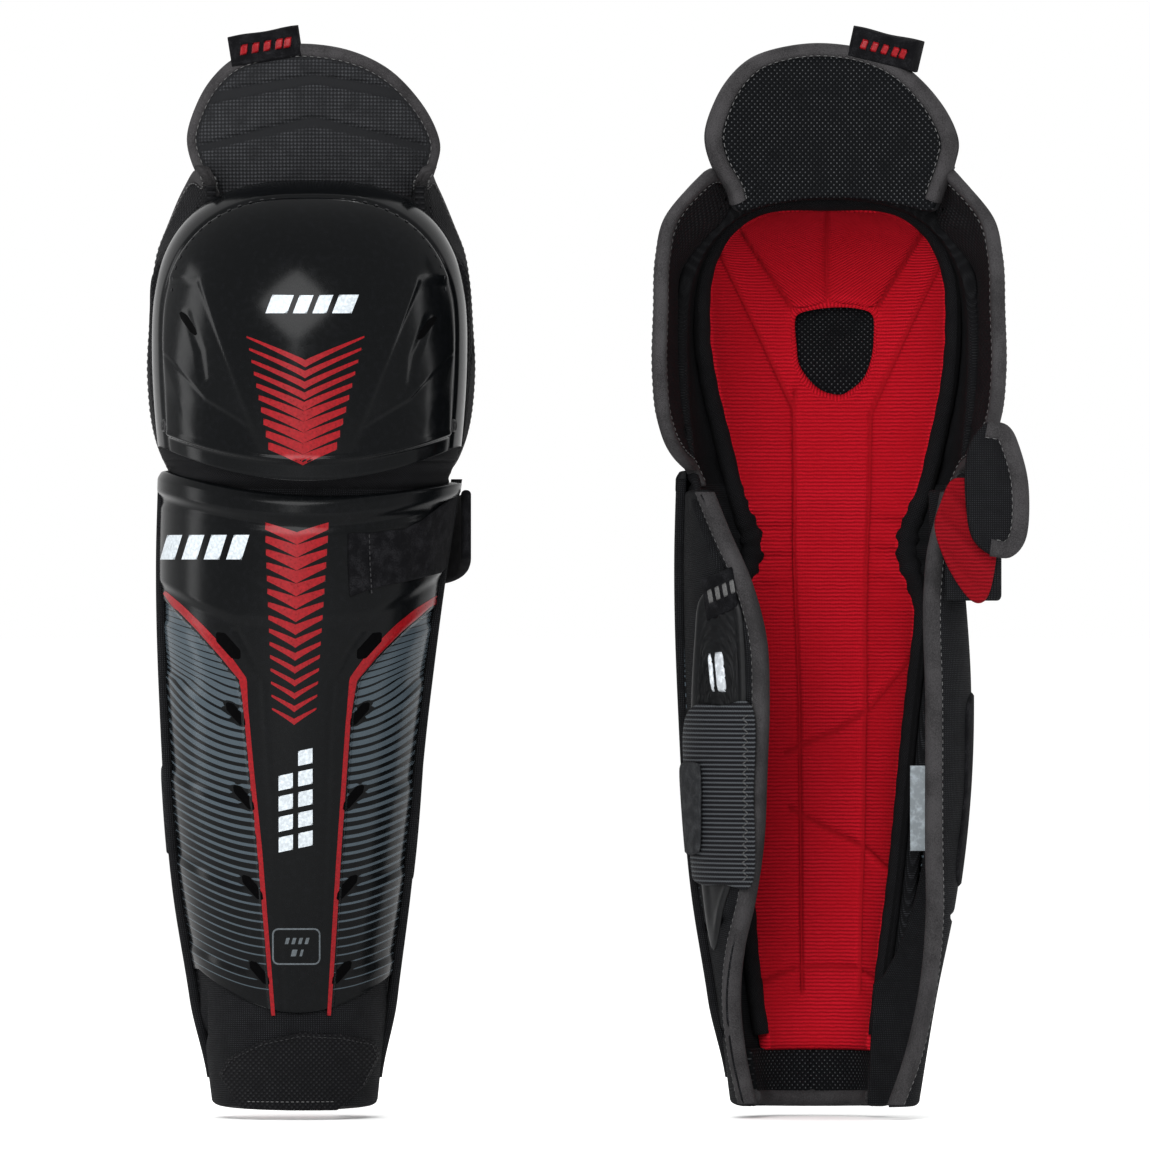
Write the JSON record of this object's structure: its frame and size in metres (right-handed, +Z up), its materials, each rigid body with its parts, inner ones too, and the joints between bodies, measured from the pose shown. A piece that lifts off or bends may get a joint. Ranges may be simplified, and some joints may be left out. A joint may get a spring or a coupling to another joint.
{
  "type": "pair of hockey shin guards",
  "caption": "Pair of hockey shin guards: hard domed knee caps and shin shells over padded red liners, with hinged knee, thigh flap, calf wings and straps.",
  "frame": {"origin": "on the right guard's leg axis, level with the bottom edge of its ankle section", "axes": "+Z runs up the leg, -Y points to the front of the right guard, +X points from the right guard to the left one, whose back faces -Y"},
  "size_m": [0.4178, 0.158, 0.5096],
  "materials": {
    "hard_shell": "glossy moulded",
    "shield_plastic": "matt moulded with a diamond relief",
    "rivet": "satin",
    "black_fabric": "padded nylon",
    "textured_fabric": "embossed nylon",
    "black_mesh": "perforated mesh",
    "binding": "folded knit binding with stitches",
    "webbing": "hook and loop webbing",
    "red_knit": "ribbed knit",
    "elastic": "ribbed elastic"
  },
  "bodies": {
    "right_shin": {"right_shin_shell": "hard_shell", "right_shin_foam": "black_fabric", "right_ankle_cover": "textured_fabric", "right_ankle_pad": "black_mesh", "right_shin_liner": "red_knit", "right_upper_strap_anchor": "webbing"},
    "right_knee": {"right_knee_cap": "hard_shell", "right_knee_rivets": "rivet", "right_knee_foam": "black_fabric", "right_knee_liner": "red_knit", "right_knee_mesh_pad": "black_mesh", "right_lateral_knee_wing": "black_fabric", "right_medial_knee_wing": "black_fabric", "right_lateral_knee_binding": "binding", "right_medial_knee_binding": "binding"},
    "right_thigh": {"right_thigh_flap": "textured_fabric", "right_thigh_flap_lining": "black_mesh", "right_thigh_flap_binding": "binding", "right_side_tab": "webbing"},
    "right_lateral_wing": {"right_lateral_calf_wing": "black_fabric", "right_lateral_calf_binding": "binding", "right_calf_shield": "shield_plastic"},
    "right_medial_wing": {"right_medial_calf_wing": "black_fabric", "right_medial_calf_binding": "binding", "right_loop_patch": "webbing"},
    "right_upper_strap": {"right_upper_strap_pad": "red_knit", "right_upper_strap_end": "black_mesh"},
    "right_lower_strap": {"right_lower_strap": "elastic", "right_lower_strap_tab": "webbing"},
    "left_shin": {"left_shin_shell": "hard_shell", "left_shin_foam": "black_fabric", "left_ankle_cover": "textured_fabric", "left_ankle_pad": "black_mesh", "left_shin_liner": "red_knit", "left_upper_strap_anchor": "webbing"},
    "left_knee": {"left_knee_cap": "hard_shell", "left_knee_rivets": "rivet", "left_knee_foam": "black_fabric", "left_knee_liner": "red_knit", "left_knee_mesh_pad": "black_mesh", "left_lateral_knee_wing": "black_fabric", "left_medial_knee_wing": "black_fabric", "left_lateral_knee_binding": "binding", "left_medial_knee_binding": "binding"},
    "left_thigh": {"left_thigh_flap": "textured_fabric", "left_thigh_flap_lining": "black_mesh", "left_thigh_flap_binding": "binding", "left_side_tab": "webbing"},
    "left_lateral_wing": {"left_lateral_calf_wing": "black_fabric", "left_lateral_calf_binding": "binding", "left_calf_shield": "shield_plastic"},
    "left_medial_wing": {"left_medial_calf_wing": "black_fabric", "left_medial_calf_binding": "binding", "left_loop_patch": "webbing"},
    "left_upper_strap": {"left_upper_strap_pad": "red_knit", "left_upper_strap_end": "black_mesh"},
    "left_lower_strap": {"left_lower_strap": "elastic", "left_lower_strap_tab": "webbing"}
  },
  "joints": [
    {"name": "right_knee_bend", "type": "hinge", "parent": "right_shin", "child": "right_knee", "pos_m": [-0.001, -0.012, 0.32], "axis": [1, 0, 0], "range_deg": [-25, 0]},
    {"name": "right_thigh_fold", "type": "hinge", "parent": "right_knee", "child": "right_thigh", "pos_m": [0, 0.004, 0.43], "axis": [1, 0, 0], "range_deg": [-25, 0]},
    {"name": "right_lateral_wing_open", "type": "hinge", "parent": "right_shin", "child": "right_lateral_wing", "pos_m": [-0.0675, 0.008, 0.193], "axis": [-0.0698, 0, 0.9976], "range_deg": [0, 25]},
    {"name": "right_medial_wing_open", "type": "hinge", "parent": "right_shin", "child": "right_medial_wing", "pos_m": [0.052, 0.0095, 0.193], "axis": [0.0499, 0, 0.9988], "range_deg": [-20, 0]},
    {"name": "right_upper_strap_open", "type": "hinge", "parent": "right_shin", "child": "right_upper_strap", "pos_m": [0.069, 0.006, 0.266], "axis": [0, 0, 1], "range_deg": [-90, 0]},
    {"name": "right_lower_strap_open", "type": "hinge", "parent": "right_lateral_wing", "child": "right_lower_strap", "pos_m": [-0.0355, 0.046, 0.148], "axis": [0, 0, -1], "range_deg": [0, 45]},
    {"name": "left_guard_apart", "type": "slide", "parent": "right_shin", "child": "left_shin", "axis": [1, 0, 0], "range_m": [0, 0.06]},
    {"name": "left_knee_bend", "type": "hinge", "parent": "left_shin", "child": "left_knee", "pos_m": [0.2425, 0.012, 0.32], "axis": [-1, 0, 0], "range_deg": [-25, 0]},
    {"name": "left_thigh_fold", "type": "hinge", "parent": "left_knee", "child": "left_thigh", "pos_m": [0.2435, -0.004, 0.43], "axis": [-1, 0, 0], "range_deg": [-25, 0]},
    {"name": "left_lateral_wing_open", "type": "hinge", "parent": "left_shin", "child": "left_lateral_wing", "pos_m": [0.176, -0.008, 0.193], "axis": [0.0698, 0, -0.9976], "range_deg": [0, 25]},
    {"name": "left_medial_wing_open", "type": "hinge", "parent": "left_shin", "child": "left_medial_wing", "pos_m": [0.2955, -0.0095, 0.193], "axis": [-0.0499, 0, -0.9988], "range_deg": [0, 20]},
    {"name": "left_upper_strap_open", "type": "hinge", "parent": "left_shin", "child": "left_upper_strap", "pos_m": [0.3125, -0.006, 0.266], "axis": [0, 0, -1], "range_deg": [-40, 0]},
    {"name": "left_lower_strap_open", "type": "hinge", "parent": "left_lateral_wing", "child": "left_lower_strap", "pos_m": [0.208, -0.046, 0.148], "axis": [0, 0, 1], "range_deg": [0, 45]}
  ]
}
